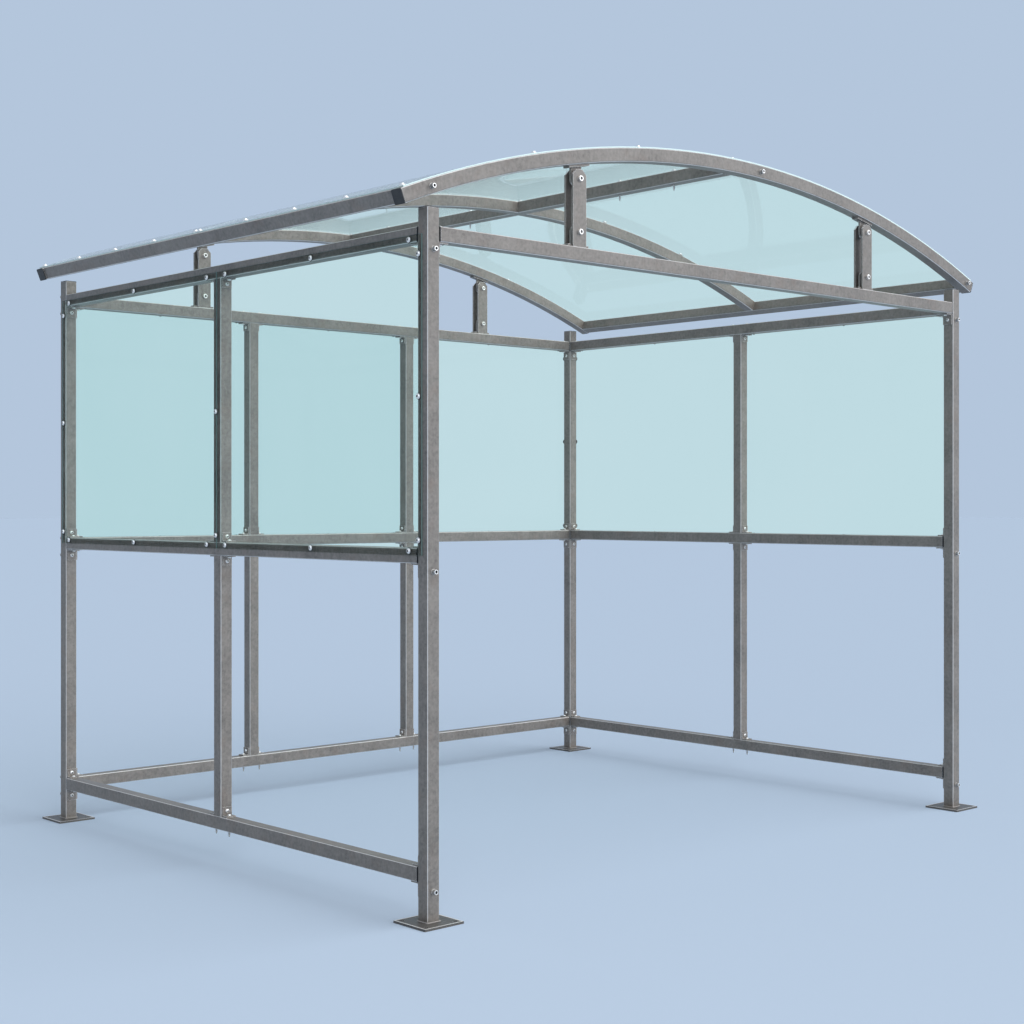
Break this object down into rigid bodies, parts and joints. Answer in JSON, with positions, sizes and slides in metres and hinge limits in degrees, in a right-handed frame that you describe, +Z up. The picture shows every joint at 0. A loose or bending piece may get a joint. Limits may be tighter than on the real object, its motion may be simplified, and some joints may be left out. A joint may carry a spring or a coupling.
{
  "type": "smoking shelter",
  "caption": "Open-fronted outdoor smoking shelter: square galvanised steel tube frame, tinted panels on the upper half of its walls and a curved tinted roof on arched tubes.",
  "frame": {"origin": "centre of the footprint, on the ground under the foot plates", "axes": "+Z up, +X along the open front from the left side to the right side, +Y from the open front to the back wall"},
  "size_m": [3.2714, 2.56, 2.6544],
  "materials": {
    "galvanised_steel": "dull mottled zinc",
    "stainless_fasteners": "bright",
    "wall_glazing": "clear, pale aqua tint",
    "roof_glazing": "clear, pale aqua tint",
    "black_plastic": "fine grained"
  },
  "bodies": {
    "root": {"front_left_post": "galvanised_steel", "front_right_post": "galvanised_steel", "back_left_post": "galvanised_steel", "back_right_post": "galvanised_steel", "front_top_rail": "galvanised_steel", "left_top_rail": "galvanised_steel", "left_middle_rail": "galvanised_steel", "left_bottom_rail": "galvanised_steel", "back_top_rail": "galvanised_steel", "back_middle_rail": "galvanised_steel", "back_bottom_rail": "galvanised_steel", "right_top_rail": "galvanised_steel", "right_middle_rail": "galvanised_steel", "right_bottom_rail": "galvanised_steel", "left_studs": "galvanised_steel", "right_studs": "galvanised_steel", "back_studs_left": "galvanised_steel", "back_studs_right": "galvanised_steel", "front_arch": "galvanised_steel", "middle_arch": "galvanised_steel", "back_arch": "galvanised_steel", "left_eaves_purlins": "galvanised_steel", "ridge_purlins": "galvanised_steel", "right_eaves_purlins": "galvanised_steel", "front_left_strut": "galvanised_steel", "front_right_strut": "galvanised_steel", "back_left_strut": "galvanised_steel", "back_right_strut": "galvanised_steel", "strut_lugs": "galvanised_steel", "rail_cleats": "galvanised_steel", "stud_cleats": "galvanised_steel", "strut_bolts": "stainless_fasteners", "left_front_panel": "wall_glazing", "left_back_panel": "wall_glazing", "back_left_panel": "wall_glazing", "back_middle_panel": "wall_glazing", "back_right_panel": "wall_glazing", "right_back_panel": "wall_glazing", "right_front_panel": "wall_glazing", "front_roof_sheet": "roof_glazing", "back_roof_sheet": "roof_glazing", "rail_end_plugs": "black_plastic", "arch_end_plugs": "black_plastic", "post_caps": "black_plastic"}
  },
  "joints": []
}
